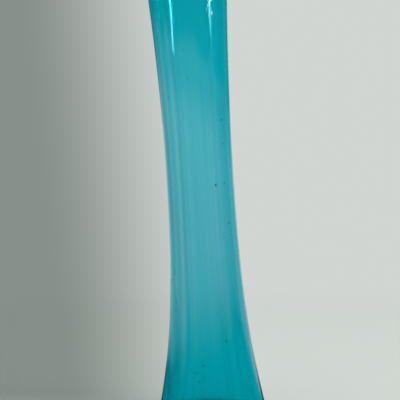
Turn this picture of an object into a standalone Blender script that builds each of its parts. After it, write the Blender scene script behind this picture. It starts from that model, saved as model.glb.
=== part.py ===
"""Swung glass vase, made of one gather of teal glass.

The foot is pressed thick and ground flat, and the neck above it was drawn out long and thin by swinging.
That left the neck leaning, the wall thinner with height and the rim uneven, in soft pulled lobes.
Metres, +Z up, origin at the centre of the ground foot. The neck leans towards -X.
"""

import math

import bmesh
import bpy

MM = 0.001

# Outline
VASE_HEIGHT = 500 * MM           # from the ground foot to the highest lobe of the rim
FOOT_DIAMETER = 103.7 * MM       # of the outline where it meets the table, before the heel is rounded
WAIST_DIAMETER = 62.5 * MM       # narrowest place of the neck
WAIST_HEIGHT = 248 * MM
MOUTH_DIAMETER = 95 * MM
NECK_LEAN = 31.6 * MM            # how far the mouth's centre stands out from the foot's centre
HEEL_RADIUS = 3.5 * MM           # fire-polished edge round the ground foot

# Glass thickness
WALL_AT_FOOT = 6.0 * MM
WALL_AT_WAIST = 3.8 * MM
WALL_AT_MOUTH = 3.0 * MM
FLOOR_THICKNESS = 6 * MM
BOWL_DEPTH = 6 * MM              # height over which the inside rounds from the floor into the wall

# Rim
RIM_LOBES = 6
RIM_LOBE_SWELL = 2.4 * MM        # how far a lobe stands out beyond the mean mouth, and draws in between
RIM_LOBE_DROP = 5 * MM           # how far the rim dips between two lobes
RIM_SIDE_DROP = 10 * MM          # how much lower the rim is on its short side
RIM_HIGH_SIDE = math.radians(50)
RIM_CROWDING = math.radians(13)  # how far the lobes crowd together towards the short side

# How the curves bend, as powers of the share of the height that they run over
FOOT_FLARE_POWER = 3.0
NECK_FLARE_POWER = 1.37
MOUTH_FLARE_POWER = 4
NECK_FLARE_SHARE = 0.63          # share of the mouth's flare that starts right above the waist
LEAN_POWER = 1.16
LOBE_FADE_POWER = 9              # how fast the rim's lobes fade out down the neck
PULL_FADE_POWER = 3

# Fineness of the mesh
SIDES = 54
OUTER_STEPS = 26
INNER_STEPS = 24
HEEL_STEPS = 4
RIM_STEPS = 6
BOWL_STEPS = 6

GLASS_COLOR = (0.01, 0.42, 0.52, 1.0)
GLASS_ROUGHNESS = 0.03
GLASS_IOR = 1.5


def outer_radius(height):
    """Mean radius of the outside at a height, narrowest at the waist."""
    if height < WAIST_HEIGHT:
        share = (WAIST_HEIGHT - height) / WAIST_HEIGHT
        flare = (FOOT_DIAMETER - WAIST_DIAMETER) * share ** FOOT_FLARE_POWER
    else:
        share = (height - WAIST_HEIGHT) / (VASE_HEIGHT - WAIST_HEIGHT)
        early = NECK_FLARE_SHARE * share ** NECK_FLARE_POWER
        late = (1 - NECK_FLARE_SHARE) * share ** MOUTH_FLARE_POWER
        flare = (MOUTH_DIAMETER - WAIST_DIAMETER) * (early + late)
    return (WAIST_DIAMETER + flare) / 2


def wall(height):
    """Thickness of the glass at a height, from the pressed foot to the thin drawn mouth."""
    if height < WAIST_HEIGHT:
        share = (WAIST_HEIGHT - height) / WAIST_HEIGHT
        return WALL_AT_WAIST + (WALL_AT_FOOT - WALL_AT_WAIST) * share ** 2
    share = (height - WAIST_HEIGHT) / (VASE_HEIGHT - WAIST_HEIGHT)
    return WALL_AT_WAIST + (WALL_AT_MOUTH - WALL_AT_WAIST) * share


def lean(height):
    """Sideways shift of the neck's centre line at a height."""
    return -NECK_LEAN * (height / VASE_HEIGHT) ** LEAN_POWER


def lobe_wave(angle):
    """1 on the crest of a lobe and -1 between two, with the lobes closer together on the short side."""
    turn = angle - RIM_HIGH_SIDE
    return math.cos(RIM_LOBES * (turn - RIM_CROWDING * math.sin(turn)))


def rim_drop(angle):
    """How far the rim lies below its highest lobe, at an angle round the mouth."""
    between_lobes = RIM_LOBE_DROP * (1 - lobe_wave(angle)) / 2
    short_side = RIM_SIDE_DROP * (1 - math.cos(angle - RIM_HIGH_SIDE)) / 2
    return between_lobes + short_side


def skin_point(radius, height, angle):
    """Point of the glass at a radius and height of the plain outline, pulled as the swing left it."""
    share = height / VASE_HEIGHT
    reach = radius + RIM_LOBE_SWELL * share ** LOBE_FADE_POWER * lobe_wave(angle)
    drop = rim_drop(angle) * share ** PULL_FADE_POWER
    return (lean(height) + reach * math.cos(angle), reach * math.sin(angle), height - drop)


def outline():
    """Radius and height of each ring, from the ground foot up the outside and down the inside."""
    rings = []
    heel_centre = outer_radius(HEEL_RADIUS) - HEEL_RADIUS
    for step in range(HEEL_STEPS):
        turn = math.pi / 2 * step / HEEL_STEPS
        rings.append((heel_centre + HEEL_RADIUS * math.sin(turn), HEEL_RADIUS * (1 - math.cos(turn))))

    lip_radius = WALL_AT_MOUTH / 2
    lip_height = VASE_HEIGHT - lip_radius
    for step in range(OUTER_STEPS):
        height = HEEL_RADIUS + (lip_height - HEEL_RADIUS) * step / OUTER_STEPS
        rings.append((outer_radius(height), height))

    lip_centre = outer_radius(lip_height) - lip_radius
    for step in range(RIM_STEPS + 1):
        turn = math.pi * step / RIM_STEPS
        rings.append((lip_centre + lip_radius * math.cos(turn), lip_height + lip_radius * math.sin(turn)))

    bowl_top = FLOOR_THICKNESS + BOWL_DEPTH
    for step in range(1, INNER_STEPS):
        height = lip_height + (bowl_top - lip_height) * step / INNER_STEPS
        rings.append((outer_radius(height) - wall(height), height))

    bowl_radius = outer_radius(bowl_top) - wall(bowl_top)
    for step in range(BOWL_STEPS):
        turn = math.pi / 2 * step / BOWL_STEPS
        rings.append((bowl_radius * math.cos(turn), bowl_top - BOWL_DEPTH * math.sin(turn)))
    return rings


def make_vase_mesh():
    """One closed skin of glass: ground foot, outside, rim, inside and floor."""
    bm = bmesh.new()
    angles = [RIM_HIGH_SIDE + 2 * math.pi * side / SIDES for side in range(SIDES)]
    rings = [
        [bm.verts.new(skin_point(radius, height, angle)) for angle in angles]
        for radius, height in outline()
    ]
    for lower, upper in zip(rings, rings[1:]):
        for side in range(SIDES):
            after = (side + 1) % SIDES
            bm.faces.new((lower[side], lower[after], upper[after], upper[side]))

    foot_centre = bm.verts.new((0, 0, 0))
    floor_centre = bm.verts.new((lean(FLOOR_THICKNESS), 0, FLOOR_THICKNESS))
    for side in range(SIDES):
        after = (side + 1) % SIDES
        bm.faces.new((foot_centre, rings[0][after], rings[0][side]))
        bm.faces.new((floor_centre, rings[-1][side], rings[-1][after]))

    mesh = bpy.data.meshes.new("vase_body")
    bm.to_mesh(mesh)
    bm.free()
    mesh.shade_smooth()
    mesh.set_sharp_from_angle(angle=math.radians(40))
    return mesh


def make_glass():
    """Clear teal glass."""
    glass = bpy.data.materials.new("teal_glass")
    glass.use_nodes = True
    shader = glass.node_tree.nodes["Principled BSDF"]
    shader.inputs["Base Color"].default_value = GLASS_COLOR
    shader.inputs["Roughness"].default_value = GLASS_ROUGHNESS
    shader.inputs["Metallic"].default_value = 0
    shader.inputs["IOR"].default_value = GLASS_IOR
    shader.inputs["Transmission Weight"].default_value = 1
    return glass


def make_vase_body():
    """The whole vase, standing on its ground foot."""
    body = bpy.data.objects.new("vase_body", make_vase_mesh())
    body.data.materials.append(make_glass())
    bpy.context.scene.collection.objects.link(body)
    return body


for leftover in list(bpy.data.objects):
    bpy.data.objects.remove(leftover)

make_vase_body()
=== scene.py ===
"""Looks of the swung glass vase: one piece of teal glass on a pale studio sweep."""

import math
import random

import bpy
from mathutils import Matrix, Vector


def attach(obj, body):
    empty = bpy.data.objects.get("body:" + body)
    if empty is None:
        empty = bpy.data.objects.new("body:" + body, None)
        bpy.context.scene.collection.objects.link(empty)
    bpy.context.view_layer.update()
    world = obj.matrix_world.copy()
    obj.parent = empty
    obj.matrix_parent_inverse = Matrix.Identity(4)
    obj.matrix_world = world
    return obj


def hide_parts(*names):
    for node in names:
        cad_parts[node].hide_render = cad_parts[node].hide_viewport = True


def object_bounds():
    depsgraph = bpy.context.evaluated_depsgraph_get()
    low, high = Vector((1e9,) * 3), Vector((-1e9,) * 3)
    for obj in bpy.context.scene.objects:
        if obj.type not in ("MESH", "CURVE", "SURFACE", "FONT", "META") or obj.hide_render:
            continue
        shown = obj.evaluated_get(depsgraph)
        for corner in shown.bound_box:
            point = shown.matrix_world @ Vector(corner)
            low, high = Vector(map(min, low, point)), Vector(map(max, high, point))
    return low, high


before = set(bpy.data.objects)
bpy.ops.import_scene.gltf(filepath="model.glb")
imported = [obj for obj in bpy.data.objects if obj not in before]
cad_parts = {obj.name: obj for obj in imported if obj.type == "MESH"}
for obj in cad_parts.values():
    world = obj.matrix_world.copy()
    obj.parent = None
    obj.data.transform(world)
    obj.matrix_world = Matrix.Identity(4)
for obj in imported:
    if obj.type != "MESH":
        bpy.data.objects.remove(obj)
cad_low, cad_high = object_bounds()


# Camera. It is held level, opposite the narrow neck and a little to the left of the foot, so that the
# mouth and the foot both run out of the picture, as they do in the photograph.
MM = 0.001
CAMERA_DISTANCE = 836 * MM
CAMERA_HEIGHT = 202.6 * MM
CAMERA_ASIDE = -12.5 * MM
PICTURE_WIDTH_PX = 400
FOCAL_LENGTH_PX = 900
SENSOR_WIDTH_MM = 36

camera_place = Vector((CAMERA_ASIDE, -CAMERA_DISTANCE, CAMERA_HEIGHT))
bpy.ops.object.camera_add(location=camera_place, rotation=(math.radians(90), 0, 0))
camera = bpy.context.object
camera.name = "camera"
camera.data.sensor_width = SENSOR_WIDTH_MM
camera.data.lens = SENSOR_WIDTH_MM * FOCAL_LENGTH_PX / PICTURE_WIDTH_PX
bpy.context.scene.camera = camera
bpy.context.scene.view_settings.view_transform = "Standard"


# Floor and backdrop. A round sweep of pale paint: a flat floor that curves up into a wall all the way
# round, wide enough that every view of the vase has the same plain ground behind it. A soft shade is
# painted on it to the left of the vase, where the wall behind the real vase lay in shade.
FLOOR_DROP = 0.3 * MM            # the floor lies this far below the foot, so that the two never coincide
FLOOR_REACH = 7.0
SWEEP_RADIUS = 2.0
SWEEP_STEPS = 12
SWEEP_SIDES = 96
WALL_TOP = 4.5
SHADOW_REACH = 0.45              # within this distance the floor shows the vase's own shadow
PLAIN_REACH = 1.3                # past this distance it is the plain ground
PALE_PAINT = (0.634, 0.668, 0.641, 1)
SHADED_PAINT = (0.246, 0.279, 0.258, 1)
FLOOR_PAINT_GAIN = 1.13          # the near floor's paint over the plain ground's, to make up for its light
SHADE_EDGE = (math.radians(-10.2), math.radians(1.3))    # bearings of its soft right edge, from the camera
SHADE_BACK = (math.radians(-14), math.radians(-20))      # and of its left edge
SHADE_BACK_IN_GLASS = (math.radians(-40), math.radians(-80))    # and of the left edge that the vase shows
SHADE_LEAN = 0.12                # how far the shade draws aside for each unit of climb
SHADE_BEHIND = (-0.12, 0.12)     # how far back, from the vase's middle, it begins on the floor
SHADE_THROUGH_GLASS = 0.12       # share of the shade that is left when it is seen through the vase
SHADE_MIRRORED = 0.35            # and when the vase mirrors it
DARK_SIDE = 0.33                 # how much more painted shade the glass shows there, further round to the left
DARK_SIDE_BEARINGS = (math.radians(-12), math.radians(-36))
TABLE_SHADE = 0.66                # and how much painted shade the glass shows on the table, to the left of the foot
TABLE_SHADE_ASIDE = (-0.02, -0.20)
TABLE_SHADE_REACH = (0.25, 0.50)


def deselect_all():
    """Leaves nothing selected, so that the next operator acts on the new piece alone."""
    bpy.ops.object.select_all(action="DESELECT")


def new_material(name):
    """An empty node material, and a function each that adds a node to it and that joins two."""
    material = bpy.data.materials.new(name)
    material.use_nodes = True
    tree = material.node_tree
    tree.nodes.clear()

    def add(kind, inputs=None, **values):
        node = tree.nodes.new("ShaderNode" + kind)
        for key, value in values.items():
            setattr(node, key, value)
        for key, value in (inputs or {}).items():
            node.inputs[key].default_value = value
        return node

    return material, add, tree.links.new


def add_ramp(add, link, value, start, end, low=0, high=1):
    """A soft step of a value, from low at its start to high at its end."""
    ramp = add("MapRange", interpolation_type="SMOOTHSTEP",
               inputs={"From Min": start, "From Max": end, "To Min": low, "To Max": high})
    link(value, ramp.inputs["Value"])
    return ramp.outputs["Result"]


def add_math(add, link, operation, first, second):
    """The outcome of a sum on two values, each of which is a node's output or a plain number."""
    node = add("Math", operation=operation)
    for value, socket in zip((first, second), node.inputs):
        if isinstance(value, (int, float)):
            socket.default_value = value
        else:
            link(value, socket)
    return node.outputs[0]


def add_parts(add, link, vector):
    """The X, Y and Z of a vector, each under its letter."""
    node = add("SeparateXYZ")
    link(vector, node.inputs[0])
    return node.outputs


def add_measure(add, link, operation, place, other=(0, 0, 0)):
    """One value from a place and another vector: a length, a distance or a dot product."""
    node = add("VectorMath", operation=operation)
    link(place, node.inputs[0])
    node.inputs[1].default_value = other
    return node.outputs["Value"]


def add_choice(add, link, share, without, with_it):
    """One value where the share is 0 and another where it is 1."""
    node = add("Mix", data_type="FLOAT")
    link(share, node.inputs["Factor"])
    link(without, node.inputs["A"])
    link(with_it, node.inputs["B"])
    return node.outputs["Result"]


def add_shader_choice(add, link, share, without, with_it):
    """One shader where the share is 0 and another where it is 1."""
    node = add("MixShader")
    link(share, node.inputs[0])
    link(without.outputs[0], node.inputs[1])
    link(with_it.outputs[0], node.inputs[2])
    return node


deselect_all()
bpy.ops.mesh.primitive_circle_add(
    vertices=SWEEP_SIDES, radius=FLOOR_REACH, fill_type="NGON", location=(0, 0, -FLOOR_DROP)
)
sweep = bpy.context.object
sweep.name = "studio_sweep"
bpy.ops.object.transform_apply(location=True, rotation=False, scale=False)
bpy.ops.object.mode_set(mode="EDIT")
bpy.ops.mesh.select_mode(type="EDGE")
bpy.ops.mesh.select_all(action="SELECT")
sweep_radius = FLOOR_REACH
sweep_height = -FLOOR_DROP
for step in range(1, SWEEP_STEPS + 1):
    turn = math.pi / 2 * step / SWEEP_STEPS
    next_radius = FLOOR_REACH + SWEEP_RADIUS * math.sin(turn)
    next_height = SWEEP_RADIUS * (1 - math.cos(turn)) - FLOOR_DROP
    bpy.ops.mesh.extrude_edges_move(TRANSFORM_OT_translate={"value": (0, 0, next_height - sweep_height)})
    grow = next_radius / sweep_radius
    bpy.ops.transform.resize(value=(grow, grow, 1), center_override=(0, 0, next_height))
    sweep_radius = next_radius
    sweep_height = next_height
bpy.ops.mesh.extrude_edges_move(TRANSFORM_OT_translate={"value": (0, 0, WALL_TOP - sweep_height)})
bpy.ops.object.mode_set(mode="OBJECT")
bpy.ops.object.shade_smooth()

paint, add, link = new_material("pale_paint")
place = add("TexCoord").outputs["Object"]
along = add_parts(add, link, place)
reach = add_measure(add, link, "LENGTH", place)

# The bearing of each place from the camera, drawn aside with the climb.
aside = add_math(add, link, "SUBTRACT", along["X"], CAMERA_ASIDE)
ahead = add_math(add, link, "ADD", along["Y"], CAMERA_DISTANCE)
bearing = add_math(add, link, "ARCTAN2", aside, ahead)
above = add_math(add, link, "SUBTRACT", along["Z"], CAMERA_HEIGHT)
climb = add_math(add, link, "DIVIDE", above, add_measure(add, link, "DISTANCE", place, camera_place))
bearing = add_math(add, link, "ADD", bearing, add_math(add, link, "MULTIPLY", climb, SHADE_LEAN))

# The painted shade, as it is seen openly, mirrored by the vase and through its glass.
left_of_edge = add_ramp(add, link, bearing, *SHADE_EDGE, 1, 0)
open_shade = add_math(
    add, link, "MULTIPLY", left_of_edge, add_ramp(add, link, bearing, *SHADE_BACK, 1, 0)
)
behind = add_ramp(add, link, along["Y"], *SHADE_BEHIND)
open_shade = add_math(add, link, "MULTIPLY", open_shade, behind)
room_shade = add_math(
    add, link, "MULTIPLY", left_of_edge, add_ramp(add, link, bearing, *SHADE_BACK_IN_GLASS, 1, 0)
)
mirrored_shade = add_math(add, link, "MULTIPLY", room_shade, SHADE_MIRRORED)
glass_share = add_ramp(
    add, link, bearing, *DARK_SIDE_BEARINGS, SHADE_THROUGH_GLASS, SHADE_THROUGH_GLASS + DARK_SIDE
)
glass_shade = add_math(add, link, "MULTIPLY", room_shade, glass_share)
# Painted shade on the table to the left of the foot, seen only through the glass.
table_shade_in_glass = add_math(
    add, link, "MULTIPLY", add_ramp(add, link, along["X"], *TABLE_SHADE_ASIDE, 0, TABLE_SHADE),
    add_ramp(add, link, reach, *TABLE_SHADE_REACH, 1, 0),
)
glass_shade = add_math(add, link, "ADD", glass_shade, table_shade_in_glass)
path = add("LightPath").outputs
shade = add_choice(add, link, path["Is Camera Ray"], mirrored_shade, open_shade)
shade = add_choice(add, link, path["Is Transmission Ray"], shade, glass_shade)
ground = add("Mix", data_type="RGBA", inputs={"A": PALE_PAINT, "B": SHADED_PAINT})
link(shade, ground.inputs["Factor"])

# Near the foot it is lit paint, which takes the vase's shadow, and further off the plain ground.
plain = add_ramp(add, link, reach, SHADOW_REACH, PLAIN_REACH)
seen = add_math(add, link, "MAXIMUM", path["Is Camera Ray"], path["Is Glossy Ray"])
seen = add_math(add, link, "MAXIMUM", seen, path["Is Transmission Ray"])
plain_share = add_math(add, link, "MULTIPLY", seen, plain)
floor_paint = add("VectorMath", operation="SCALE", inputs={"Scale": FLOOR_PAINT_GAIN})
link(ground.outputs["Result"], floor_paint.inputs[0])
painted = add("BsdfDiffuse")
link(floor_paint.outputs[0], painted.inputs["Color"])
glow = add("Emission")
link(ground.outputs["Result"], glow.inputs["Color"])
surface = add_shader_choice(add, link, plain_share, painted, glow)
outer_face = add("NewGeometry").outputs["Backfacing"]
surface = add_shader_choice(add, link, outer_face, surface, add("BsdfTransparent"))
link(surface.outputs[0], add("OutputMaterial").inputs["Surface"])
sweep.data.materials.append(paint)


# Room. Pale walls and a pale ceiling, out of sight, give an even light from all sides. The glass mirrors
# them above the painted black cloth that hangs round it, and through the gap in the cloth.
ROOM_LIGHT = (0.80, 0.80, 0.79, 1)

world = bpy.data.worlds.new("room")
world.use_nodes = True
world.node_tree.nodes["Background"].inputs["Color"].default_value = ROOM_LIGHT
bpy.context.scene.world = world


# Light bank. A low ring of soft light round the vase, open straight behind it, with black cloth hung above.
# The glass mirrors both, yet the ring shows only in reflections and lights nothing: the light is a painted
# reflection that lays the milky veil on the middle of the vase, and the cloth a painted dark one that keeps
# its mouth deep in colour.
RING_SIDES = 96
BANK_REACH = 1.5
BANK_SIDE = math.radians(-12)    # the side that the bank is brightest on, from the camera's towards the right
BANK_LIGHT = 1.62
BANK_END_LIGHT = 0.42
BANK_FULL_COSINE = 0.60          # cosine of the angle to that side within which the bank is fully bright
BANK_END_COSINE = -0.65          # and past which it has come down to its end light
BANK_TOP = 0.398
BANK_TOP_SLOPE = 0.047           # rise of the bank's upper edge for each metre towards its high side
BANK_TOP_SIDE = math.radians(90)
BANK_HALO = 0.36                 # share of the light that shines on above the edge
BANK_HALO_FADE = (0.035, 0.09)
BANK_EDGE_FADE = (-0.095, 0.025)
BANK_STREAKS = 0.3               # how far the fine streaks brighten and darken the bank's light
BANK_STREAK_FINENESS = (3, 3, 0)    # the same all the way up, so that they stand upright
BANK_STREAK_DETAIL = 2
BANK_STREAK_ROUGHNESS = 0.6
GAP_SIDE = math.radians(176)     # the bank is open here, straight behind the vase
GAP_COSINES = (0.915, 0.97)
CLOTH_TOP = 1.9

# Bars of the bank that the glass mirrors as upright streaks: where each one's middle is, in degrees from the
# camera's side towards the right, how far it reaches to either side, and what it adds there, to the light or
# to the height of the upper edge.
BANK_LIGHT_BARS = (
    (-155, 22, 0.30), (-122, 7, -0.06), (-109, 6, 0.40), (-92, 9, -0.22), (-76, 6, 0.60), (-60, 9, -0.50),
    (-38, 5, 0.40), (-22, 7, -0.10), (49, 6, 0.26), (62, 12, -0.10), (118, 9, 0.20), (160, 20, 0.95),
)
BANK_TOP_BARS = (
    (-130, 42, 0.11), (-105, 18, 0.018), (-78, 18, 0.020), (-45, 28, -0.012), (30, 25, -0.01),
    (60, 14, 0.03), (140, 30, -0.05),
)


def towards(side):
    """Level direction at an angle from the camera's side of the vase, turned towards its right."""
    return Vector((math.sin(side), -math.cos(side), 0))


def show_in_reflections_only(piece):
    """Makes a stage piece that shows in reflections on the glass and nowhere else, and shades nothing."""
    piece.visible_camera = False
    piece.visible_diffuse = False
    piece.visible_transmission = False
    piece.visible_volume_scatter = False
    piece.visible_shadow = False


def add_ring(name, radius, top):
    """An upright ring round the vase, which shows in reflections on the glass and nowhere else."""
    deselect_all()
    bpy.ops.mesh.primitive_cylinder_add(
        vertices=RING_SIDES, radius=radius, depth=top, end_fill_type="NOTHING", location=(0, 0, top / 2)
    )
    ring = bpy.context.object
    ring.name = name
    bpy.ops.object.transform_apply(location=True, rotation=False, scale=False)
    show_in_reflections_only(ring)
    return ring


def add_slanted_height(add, link, place, slope, side):
    """Height above a plane through the foot's centre that rises towards a side."""
    return add_measure(add, link, "DOT_PRODUCT", place, Vector((0, 0, 1)) - slope * towards(side))


def add_cosine(add, link, place, side, radius):
    """Cosine of the angle between a place on a ring and a side of the vase."""
    return add_measure(add, link, "DOT_PRODUCT", place, towards(side) / radius)


def add_bars(add, link, place, bars, value):
    """A value with soft upright bars added to it, each round its own side of the vase."""
    along = add_parts(add, link, place)
    ahead = add_math(add, link, "MULTIPLY", along["Y"], -1)
    side = add_math(add, link, "ARCTAN2", along["X"], ahead)
    for middle, reach, change in bars:
        off = add_math(add, link, "SUBTRACT", side, math.radians(middle))
        off = add_math(add, link, "ABSOLUTE", off, 0)
        value = add_math(add, link, "ADD", value, add_ramp(add, link, off, 0, math.radians(reach), change, 0))
    return value


bank = add_ring("light_bank", BANK_REACH, CLOTH_TOP)
bank_glow, add, link = new_material("bank_glow")
place = add("TexCoord").outputs["Object"]
level = add_ramp(
    add, link, add_cosine(add, link, place, BANK_SIDE, BANK_REACH),
    BANK_END_COSINE, BANK_FULL_COSINE, BANK_END_LIGHT, BANK_LIGHT,
)
level = add_bars(add, link, place, BANK_LIGHT_BARS, level)
streak_place = add("VectorMath", operation="MULTIPLY")
link(place, streak_place.inputs[0])
streak_place.inputs[1].default_value = BANK_STREAK_FINENESS
streaks = add(
    "TexNoise", inputs={"Scale": 1, "Detail": BANK_STREAK_DETAIL, "Roughness": BANK_STREAK_ROUGHNESS}
)
link(streak_place.outputs[0], streaks.inputs["Vector"])
streaks = add_ramp(add, link, streaks.outputs["Fac"], 0, 1, 1 - BANK_STREAKS, 1 + BANK_STREAKS)
level = add_math(add, link, "MULTIPLY", level, streaks)
height = add_slanted_height(add, link, place, BANK_TOP_SLOPE, BANK_TOP_SIDE)
top = add_bars(add, link, place, BANK_TOP_BARS, BANK_TOP)
height = add_math(add, link, "SUBTRACT", height, top)
halo = add_ramp(add, link, height, *BANK_HALO_FADE, BANK_HALO, 0)
core = add_ramp(add, link, height, *BANK_EDGE_FADE, 1 - BANK_HALO, 0)
glow = add("Emission")
strength = add_math(add, link, "MULTIPLY", add_math(add, link, "ADD", halo, core), level)
link(strength, glow.inputs["Strength"])
gap = add_ramp(add, link, add_cosine(add, link, place, GAP_SIDE, BANK_REACH), *GAP_COSINES)
surface = add_shader_choice(add, link, gap, glow, add("BsdfTransparent"))
link(surface.outputs[0], add("OutputMaterial").inputs["Surface"])
bank.data.materials.append(bank_glow)


# Dark tray. A round tray under the vase, lined with black cloth, whose uneven rim fades out towards the top.
# Only its mirrored image shows and it shades nothing: a painted dark reflection that keeps the foot deep in
# colour.
TRAY_REACH = 0.35
TRAY_TOP = 0.26
TRAY_RIM = 0.102
TRAY_RIM_SLOPE = 0.102
TRAY_RIM_SIDE = math.radians(75)
TRAY_EDGE_FADE = (-0.026, 0.020)
TRAY_HAZE = 0.3                  # share of the light that comes back only well above the rim
TRAY_HAZE_FADE = (0, 0.06)
TRAY_DIP = 0.105                 # how much lower the rim comes at the back
TRAY_DIP_SIDE = math.radians(165)
TRAY_DIP_COSINES = (0.20, 1.08)

# Bars round the rim, as on the bank, each of which raises or lowers it.
TRAY_RIM_BARS = (
    (-117, 28, -0.028), (-58, 8, 0.016), (-52, 13, 0.014),
    (-30, 24, 0.012), (-5, 18, 0.008), (60, 24, -0.012), (137, 20, -0.03),
)

tray = add_ring("dark_tray", TRAY_REACH, TRAY_TOP)

# The tray's floor closes the ring's lower edge.
bpy.ops.object.mode_set(mode="EDIT")
bpy.ops.mesh.select_all(action="DESELECT")
bpy.ops.object.mode_set(mode="OBJECT")
for vertex in tray.data.vertices:
    vertex.select = vertex.co.z < TRAY_TOP / 2
bpy.ops.object.mode_set(mode="EDIT")
bpy.ops.mesh.edge_face_add()
bpy.ops.object.mode_set(mode="OBJECT")
painted_dark_reflection, add, link = new_material("painted_dark_reflection")
place = add("TexCoord").outputs["Object"]
height = add_slanted_height(add, link, place, TRAY_RIM_SLOPE, TRAY_RIM_SIDE)
dip = add_ramp(
    add, link, add_cosine(add, link, place, TRAY_DIP_SIDE, TRAY_REACH), *TRAY_DIP_COSINES, 0, TRAY_DIP
)
rim = add_bars(add, link, place, TRAY_RIM_BARS, TRAY_RIM)
height = add_math(add, link, "ADD", add_math(add, link, "SUBTRACT", height, rim), dip)
above_rim = add_math(
    add, link, "ADD", add_ramp(add, link, height, *TRAY_EDGE_FADE, 0, 1 - TRAY_HAZE),
    add_ramp(add, link, height, *TRAY_HAZE_FADE, 0, TRAY_HAZE),
)
cloth = add("BsdfDiffuse", inputs={"Color": (0, 0, 0, 1)})
surface = add_shader_choice(add, link, above_rim, cloth, add("BsdfTransparent"))
link(surface.outputs[0], add("OutputMaterial").inputs["Surface"])
tray.data.materials.append(painted_dark_reflection)


# Cards. Narrow bright cards stand to both sides, held so that the glass mirrors each as a line or a patch of
# light on the neck. They show only through the glass and light nothing, so these lines are painted
# highlights.
# They are white, but for one that is aqua, painted in the tint of the reflection from the glass's inner
# surface.
WHITE = (1, 1, 1, 1)
AQUA = (0.04, 1, 1.05, 1)

# Each card's name, its side in degrees from the camera's side towards the right, distance, top and width, how
# far it leans on that way round for each unit of height and at which height it stands on its side, its color,
# whether the inner surface of the glass mirrors it too, and last the heights over which its light comes up
# from below and how much each of them adds.
CARDS = (
    ("tall_strip", 66.8, 1.35, 1.50, 0.11, (-0.85, 0.84), WHITE, True, ((0.773, 0.820, 420),)),
    ("thin_strip", -54.9, 1.35, 0.62, 0.080, (2.0, 0.405), WHITE, False, ((0.370, 0.382, 4.2),)),
    ("bright_patch", 65, 1.35, 0.80, 0.11, (0, 0), WHITE, False,
     ((0.611, 0.636, 17), (0.572, 0.592, 1.2), (0.530, 0.550, 0.25))),
    ("aqua_patch", 65, 1.36, 0.80, 0.11, (0, 0), AQUA, False,
     ((0.566, 0.602, 10), (0.530, 0.550, 0.5))),
)


def add_card(name, side, distance, high, width, lean, color, inside_too, steps):
    """An upright bright card, which the glass mirrors as a line of light."""
    side = math.radians(side)
    low = min(start for start, full, light in steps)
    deselect_all()
    bpy.ops.mesh.primitive_plane_add(
        size=1, location=Vector((0, 0, (low + high) / 2)) + distance * towards(side),
        rotation=(math.radians(90), 0, side),
    )
    card = bpy.context.object
    card.name = name
    card.scale = (width, high - low, 1)
    bpy.ops.object.transform_apply(location=True, rotation=True, scale=True)
    slope, upright_height = lean
    for vertex in card.data.vertices:
        vertex.co += slope * (vertex.co.z - upright_height) * Vector((math.cos(side), math.sin(side), 0))
    show_in_reflections_only(card)
    card.visible_transmission = inside_too
    material, add, link = new_material(name + "_glow")
    height = add_parts(add, link, add("TexCoord").outputs["Object"])["Z"]
    strength = 0
    for start, full, light in steps:
        rise = add_ramp(add, link, height, start, full, 0, light)
        strength = add_math(add, link, "ADD", strength, rise)
    glow = add("Emission", inputs={"Color": color})
    link(strength, glow.inputs["Strength"])
    surface = add("AddShader")
    link(glow.outputs[0], surface.inputs[0])
    link(add("BsdfTransparent").outputs[0], surface.inputs[1])
    link(surface.outputs[0], add("OutputMaterial").inputs["Surface"])
    card.data.materials.append(material)


for card_values in CARDS:
    add_card(*card_values)


# Lamps. Two soft square lamps, one to the right and one overhead, light the floor round the foot and cast
# the vase's shadow on it. The glass doesn't mirror them.
KEY_SIDE = math.radians(60)
KEY_DISTANCE = 1.35
KEY_HEIGHT = 1.1
KEY_SIZE = 0.4
KEY_POWER = 3
TOP_HEIGHT = 2.4
TOP_SIZE = 0.6
TOP_POWER = 7


def add_area_light(name, place, size, power):
    """A soft square lamp that faces the vase."""
    deselect_all()
    bpy.ops.object.light_add(type="AREA", location=place)
    lamp = bpy.context.object
    lamp.name = name
    lamp.rotation_euler = (-Vector(place)).to_track_quat("-Z", "Y").to_euler()
    lamp.data.size = size
    lamp.data.energy = power
    lamp.visible_camera = False
    lamp.visible_glossy = False


key_place = KEY_DISTANCE * towards(KEY_SIDE) + Vector((0, 0, KEY_HEIGHT))
add_area_light("key_light", key_place, KEY_SIZE, KEY_POWER)
add_area_light("top_light", (0, 0, TOP_HEIGHT), TOP_SIZE, TOP_POWER)


# Vase. One gather of teal glass, pressed into the thick foot, blown hollow and swung. The swing drew the
# neck out thin and leaning and pulled the rim into uneven lobes. The foot's underside is ground flat.
VASE_HEIGHT = cad_high.z
FOOT_DIAMETER = 103.7 * MM
WAIST_DIAMETER = 62.5 * MM
WAIST_HEIGHT = 248 * MM
MOUTH_DIAMETER = 95 * MM
NECK_LEAN = 31.6 * MM
HEEL_RADIUS = 3.5 * MM
WALL_AT_FOOT = 6.0 * MM
WALL_AT_WAIST = 3.8 * MM
WALL_AT_MOUTH = 3.0 * MM
FLOOR_THICKNESS = 6 * MM
BOWL_DEPTH = 3 * MM              # height over which the inside rounds from the floor into the wall
RIM_LOBES = 6
RIM_LOBE_SWELL = 2.4 * MM        # how far a lobe stands out beyond the mean mouth, and draws in between
RIM_LOBE_DROP = 5 * MM           # how far the rim dips between two lobes
RIM_SIDE_DROP = 10 * MM          # how much lower the rim is on its short side
RIM_HIGH_SIDE = math.radians(50)
RIM_CROWDING = math.radians(13)  # how far the lobes crowd together towards the short side
FOOT_FLARE_POWER = 3.0
NECK_FLARE_POWER = 1.37
MOUTH_FLARE_POWER = 4
NECK_FLARE_SHARE = 0.63
LEAN_POWER = 1.16
LOBE_FADE_POWER = 9
PULL_FADE_POWER = 3
SIDES = 96
OUTER_STEPS = 64
INNER_STEPS = 60
HEEL_STEPS = 6
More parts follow.
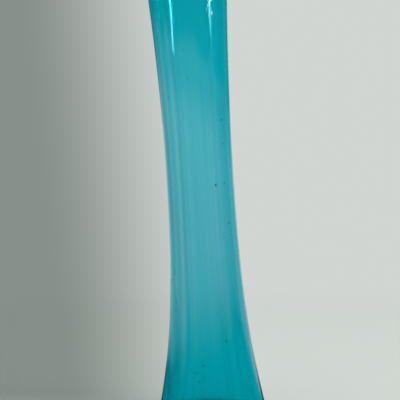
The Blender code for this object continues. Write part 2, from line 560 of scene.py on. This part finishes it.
RIM_STEPS = 8
BOWL_STEPS = 10
FINE_SKIN_LEVELS = 1
FLOOR_CENTRE_SHARE = 0.08        # share of the bowl's radius that the last ring of the floor keeps
INSIDE_SHARE = 1 / 3             # share of the wall, from outside, past which a point counts as inside


def outer_radius(height):
    """Mean radius of the outside at a height, narrowest at the waist."""
    if height < WAIST_HEIGHT:
        share = (WAIST_HEIGHT - height) / WAIST_HEIGHT
        flare = (FOOT_DIAMETER - WAIST_DIAMETER) * share ** FOOT_FLARE_POWER
    else:
        share = (height - WAIST_HEIGHT) / (VASE_HEIGHT - WAIST_HEIGHT)
        early = NECK_FLARE_SHARE * share ** NECK_FLARE_POWER
        late = (1 - NECK_FLARE_SHARE) * share ** MOUTH_FLARE_POWER
        flare = (MOUTH_DIAMETER - WAIST_DIAMETER) * (early + late)
    return (WAIST_DIAMETER + flare) / 2


def wall(height):
    """Thickness of the glass at a height, from the pressed foot to the thin drawn mouth."""
    if height < WAIST_HEIGHT:
        share = (WAIST_HEIGHT - height) / WAIST_HEIGHT
        return WALL_AT_WAIST + (WALL_AT_FOOT - WALL_AT_WAIST) * share ** 2
    share = (height - WAIST_HEIGHT) / (VASE_HEIGHT - WAIST_HEIGHT)
    return WALL_AT_WAIST + (WALL_AT_MOUTH - WALL_AT_WAIST) * share


def lean(height):
    """Sideways shift of the neck's centre line at a height."""
    return -NECK_LEAN * max(height / VASE_HEIGHT, 0) ** LEAN_POWER


def lobe_wave(angle):
    """1 on the crest of a lobe and -1 between two, with the lobes closer together on the short side."""
    turn = angle - RIM_HIGH_SIDE
    return math.cos(RIM_LOBES * (turn - RIM_CROWDING * math.sin(turn)))


def rim_drop(angle):
    """How far the rim lies below its highest lobe, at an angle round the mouth."""
    between_lobes = RIM_LOBE_DROP * (1 - lobe_wave(angle)) / 2
    short_side = RIM_SIDE_DROP * (1 - math.cos(angle - RIM_HIGH_SIDE)) / 2
    return between_lobes + short_side


def vase_rings():
    """Radius and height of each ring, from the ground foot up the outside and down the inside."""
    rings = []
    heel_centre = outer_radius(HEEL_RADIUS) - HEEL_RADIUS
    for step in range(HEEL_STEPS):
        turn = math.pi / 2 * step / HEEL_STEPS
        rings.append((heel_centre + HEEL_RADIUS * math.sin(turn), HEEL_RADIUS * (1 - math.cos(turn))))
    lip_radius = WALL_AT_MOUTH / 2
    lip_height = VASE_HEIGHT - lip_radius
    for step in range(OUTER_STEPS):
        height = HEEL_RADIUS + (lip_height - HEEL_RADIUS) * step / OUTER_STEPS
        rings.append((outer_radius(height), height))
    lip_centre = outer_radius(lip_height) - lip_radius
    for step in range(RIM_STEPS + 1):
        turn = math.pi * step / RIM_STEPS
        rings.append((lip_centre + lip_radius * math.cos(turn), lip_height + lip_radius * math.sin(turn)))
    bowl_top = FLOOR_THICKNESS + BOWL_DEPTH
    for step in range(1, INNER_STEPS):
        height = lip_height + (bowl_top - lip_height) * step / INNER_STEPS
        rings.append((outer_radius(height) - wall(height), height))
    bowl_radius = outer_radius(bowl_top) - wall(bowl_top)
    for step in range(BOWL_STEPS):
        turn = math.pi / 2 * step / BOWL_STEPS
        rings.append((bowl_radius * math.cos(turn), bowl_top - BOWL_DEPTH * math.sin(turn)))
    rings.append((bowl_radius * FLOOR_CENTRE_SHARE, FLOOR_THICKNESS))
    return rings


rings = vase_rings()
first_radius, first_height = rings[0]
deselect_all()
bpy.ops.mesh.primitive_circle_add(
    vertices=SIDES, radius=first_radius, fill_type="NOTHING", location=(lean(first_height), 0, first_height)
)
vase = bpy.context.object
vase.name = "glass_vase"
bpy.ops.object.transform_apply(location=True, rotation=False, scale=False)
bpy.ops.object.mode_set(mode="EDIT")
bpy.ops.mesh.select_all(action="SELECT")
for (radius, height), (next_radius, next_height) in zip(rings, rings[1:]):
    shift = (lean(next_height) - lean(height), 0, next_height - height)
    bpy.ops.mesh.extrude_region_move(TRANSFORM_OT_translate={"value": shift})
    grow = next_radius / radius
    bpy.ops.transform.resize(value=(grow, grow, 1), center_override=(lean(next_height), 0, next_height))

# The last ring closes as the floor, and the first one as the ground underside.
bpy.ops.mesh.edge_face_add()
bpy.ops.mesh.select_all(action="DESELECT")
bpy.ops.object.mode_set(mode="OBJECT")
for vertex in vase.data.vertices[:SIDES]:
    vertex.select = True
bpy.ops.object.mode_set(mode="EDIT")
bpy.ops.mesh.edge_face_add()
bpy.ops.mesh.select_all(action="SELECT")
bpy.ops.mesh.normals_make_consistent(inside=False)
bpy.ops.object.mode_set(mode="OBJECT")

# The swing pulls each point of the plain form towards its lobe.
for vertex in vase.data.vertices:
    height = vertex.co.z
    centre = lean(height)
    angle = math.atan2(vertex.co.y, vertex.co.x - centre)
    radius = math.hypot(vertex.co.x - centre, vertex.co.y)
    share = min(height / VASE_HEIGHT, 1)
    reach = radius + RIM_LOBE_SWELL * share ** LOBE_FADE_POWER * lobe_wave(angle)
    vertex.co.x = centre + reach * math.cos(angle)
    vertex.co.y = reach * math.sin(angle)
    vertex.co.z = height - rim_drop(angle) * share ** PULL_FADE_POWER

bpy.context.view_layer.objects.active = vase
fine = vase.modifiers.new("fine_skin", "SUBSURF")
fine.levels = FINE_SKIN_LEVELS
fine.render_levels = FINE_SKIN_LEVELS
bpy.ops.object.modifier_apply(modifier=fine.name)
bpy.ops.object.shade_smooth()

# Where each point of the glass lies: its direction from the neck's centre line, its height and whether it is
# on the inside. The glass's tint, streaks and ripples follow these.
vase.data.attributes.new("flow", "FLOAT_VECTOR", "POINT")
vase.data.attributes.new("inside", "FLOAT", "POINT")
flow_values = vase.data.attributes["flow"].data
inside_values = vase.data.attributes["inside"].data
for vertex in vase.data.vertices:
    height = vertex.co.z
    across = vertex.co.x - lean(height)
    radius = math.hypot(across, vertex.co.y)
    flow_values[vertex.index].vector = (across / radius, vertex.co.y / radius, height)
    inner_reach = outer_radius(height) - wall(height) * INSIDE_SHARE
    past_outer_skin = height > FLOOR_THICKNESS / 2 and radius < inner_reach
    inside_values[vertex.index].value = 1 if past_outer_skin else 0

OUTER_TINT = (0.40, 0.72, 0.845, 1)
INNER_TINT = (0.12, 0.822, 0.846, 1)
GLASS_DEPTH_COLOR = (0, 0.941, 0.955, 1)
GLASS_DENSITY = 350
GLASS_IOR = 1.5
GROUND_ROUGHNESS = 0.5
GROUND_FADE = (0.2 * MM, 0.5 * MM)    # heights over which the ground underside turns clear
CORD_FINENESS = (13, 13, 3)      # upright cords of deeper and paler glass, that the swing drew out
CORD_DETAIL = 2
CORD_ROUGHNESS = 0.6
CORD_MIDDLE = 0.5                # the noise at which the glass keeps its plain tint
CORDS_FROM = 0.2                 # they show most where the glass turns away to the sides
CORDS_FULL = 0.55
CORD_DEPTH_IN_FRONT = 0.05
CORD_DEPTH = 0.42
PALER_NECK = (170 * MM, 250 * MM, 0.035)    # over this height the drawn-out glass gets paler, and by how much
DEEPER_NECK = (330 * MM, 390 * MM, -0.055)  # and here deeper again
STREAK_FINENESS = (7, 7, 4)      # faint upright relief
STREAK_DEPTH = 0.02 * MM
RIPPLE_FINENESS = (30, 30, 300)  # round the neck, and for each metre of height
RIPPLE_DEPTH = 0.10 * MM
RIPPLES_FROM = 330 * MM
RIPPLES_FULL = 390 * MM
RIPPLE_SIDE_FROM = (0.1, 0.4)    # where they begin to the right, as shares of the radius
RIPPLE_SIDE_TO = (0.7, 0.9)      # and where they end
RELIEF_DETAIL = 1
RELIEF_ROUGHNESS = 0.5


def add_drawn_noise(add, link, flow, fineness, detail, roughness):
    """Noise in the glass, with a fineness of its own round the neck and up it."""
    drawn = add("VectorMath", operation="MULTIPLY")
    link(flow, drawn.inputs[0])
    drawn.inputs[1].default_value = fineness
    noise = add("TexNoise", inputs={"Scale": 1, "Detail": detail, "Roughness": roughness})
    link(drawn.outputs[0], noise.inputs["Vector"])
    return noise.outputs["Fac"]


glass, add, link = new_material("teal_glass")
is_inside = add("Attribute", attribute_name="inside").outputs["Fac"]
flow = add("Attribute", attribute_name="flow").outputs["Vector"]
along = add_parts(add, link, flow)

# Its tint, with the cords and the paler and deeper stretches of the neck.
tint = add("Mix", data_type="RGBA", inputs={"A": OUTER_TINT, "B": INNER_TINT})
link(is_inside, tint.inputs["Factor"])
cords = add_drawn_noise(add, link, flow, CORD_FINENESS, CORD_DETAIL, CORD_ROUGHNESS)
aside = add_math(add, link, "ABSOLUTE", along["X"], 0)
cord_depth = add_ramp(add, link, aside, CORDS_FROM, CORDS_FULL, CORD_DEPTH_IN_FRONT, CORD_DEPTH)
shade = add_math(add, link, "SUBTRACT", cords, CORD_MIDDLE)
shade = add_math(add, link, "MULTIPLY", shade, cord_depth)
shade = add_math(add, link, "ADD", shade, 1)
for start, end, paler in (PALER_NECK, DEEPER_NECK):
    shade = add_math(add, link, "ADD", shade, add_ramp(add, link, along["Z"], start, end, 0, paler))
corded = add("VectorMath", operation="SCALE")
link(tint.outputs["Result"], corded.inputs[0])
link(shade, corded.inputs["Scale"])

# The relief of its outer surface.
streaks = add_drawn_noise(add, link, flow, STREAK_FINENESS, RELIEF_DETAIL, RELIEF_ROUGHNESS)
ripples = add_drawn_noise(add, link, flow, RIPPLE_FINENESS, RELIEF_DETAIL, RELIEF_ROUGHNESS)
ripple_share = add_ramp(add, link, along["Z"], RIPPLES_FROM, RIPPLES_FULL, 0, RIPPLE_DEPTH)
for start, end, low, high in ((*RIPPLE_SIDE_FROM, 0, 1), (*RIPPLE_SIDE_TO, 1, 0)):
    ripple_side = add_ramp(add, link, along["X"], start, end, low, high)
    ripple_share = add_math(add, link, "MULTIPLY", ripple_share, ripple_side)
waves = add_math(add, link, "MULTIPLY", ripples, ripple_share)
lines = add_math(add, link, "MULTIPLY", streaks, STREAK_DEPTH)
relief = add_math(add, link, "ADD", waves, lines)
outside = add_math(add, link, "SUBTRACT", 1, is_inside)
relief = add_math(add, link, "MULTIPLY", relief, outside)
bump = add("Bump", inputs={"Strength": 1, "Distance": 1})
link(relief, bump.inputs["Height"])

under = add_ramp(add, link, along["Z"], *GROUND_FADE, GROUND_ROUGHNESS, 0)
shader = add("BsdfPrincipled", inputs={"IOR": GLASS_IOR, "Transmission Weight": 1})
link(corded.outputs[0], shader.inputs["Base Color"])
link(under, shader.inputs["Roughness"])
link(bump.outputs["Normal"], shader.inputs["Normal"])
depth_color = add("VolumeAbsorption", inputs={"Color": GLASS_DEPTH_COLOR, "Density": GLASS_DENSITY})
output = add("OutputMaterial")
link(shader.outputs[0], output.inputs["Surface"])
link(depth_color.outputs[0], output.inputs["Volume"])
vase.data.materials.append(glass)

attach(vase, "root")
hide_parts("vase_body")


# Specks. Dark grains of furnace stone that melted into the gather with the glass. They lie within the wall,
# and the swing drew each of them out a little.
FINE_SPECKS = 44
FINE_SPECK_RADII = (0.08 * MM, 0.24 * MM)
FINE_SPECK_HEIGHTS = (30 * MM, 470 * MM)
SPECK_STRETCH = (0.9, 1.7)       # how long each one is for its width
SPECK_SEGMENTS = 12
SPECK_RINGS = 8
SPECK_SEED = 5
FRONT_SPECK_DEPTH = 0.4          # how far the front ones' middles lie below the surface, in their own radii
SPECK_DEPTH = (0.3, 0.6)         # and the fine ones', as a share of the wall
STONE_COLOR = (0.012, 0.020, 0.022, 1)
STONE_ROUGHNESS = 0.6
STONE_SHEEN = 0.08

# The larger ones, at the front: how far across it each lies, as a share of the half width, and its height and
# its radius in millimetres. The fine ones lie anywhere.
FRONT_SPECKS = (
    (-0.75, 295, 0.50), (-0.17, 311, 0.34), (-0.25, 336, 0.34), (0.71, 275, 0.50), (0.45, 267, 0.38),
    (0.72, 254, 0.42), (0.435, 216, 0.68), (0.69, 218, 0.56), (0.74, 182, 0.50), (0.57, 169, 0.46),
    (0.39, 77, 0.44), (-0.16, 70, 0.44), (-0.17, 56, 0.48), (-0.33, 49, 0.44), (-0.16, 46, 0.40),
    (-0.27, 42, 0.60),
)

chance = random.Random(SPECK_SEED)
speck_places = [
    (math.asin(share) - math.pi / 2, height * MM, radius * MM, FRONT_SPECK_DEPTH * radius * MM)
    for share, height, radius in FRONT_SPECKS
]
for _ in range(FINE_SPECKS):
    angle = chance.uniform(0, 2 * math.pi)
    height = chance.uniform(*FINE_SPECK_HEIGHTS)
    depth = wall(height) * chance.uniform(*SPECK_DEPTH)
    speck_places.append((angle, height, chance.uniform(*FINE_SPECK_RADII), depth))
specks = []
for angle, height, radius, depth in speck_places:
    reach = outer_radius(height) - depth
    bpy.ops.mesh.primitive_uv_sphere_add(
        segments=SPECK_SEGMENTS, ring_count=SPECK_RINGS, radius=radius,
        scale=(1, 1, chance.uniform(*SPECK_STRETCH)),
        location=(lean(height) + reach * math.cos(angle), reach * math.sin(angle), height),
    )
    specks.append(bpy.context.object)
deselect_all()
for speck in specks:
    speck.select_set(True)
bpy.context.view_layer.objects.active = specks[0]
bpy.ops.object.join()
bpy.ops.object.transform_apply(location=True, rotation=True, scale=True)
bpy.ops.object.shade_smooth()
stone_specks = bpy.context.object
stone_specks.name = "stone_specks"
stone, add, link = new_material("dark_stone")
shader = add(
    "BsdfPrincipled",
    inputs={"Base Color": STONE_COLOR, "Roughness": STONE_ROUGHNESS, "Specular IOR Level": STONE_SHEEN},
)
link(shader.outputs[0], add("OutputMaterial").inputs["Surface"])
stone_specks.data.materials.append(stone)
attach(stone_specks, "root")
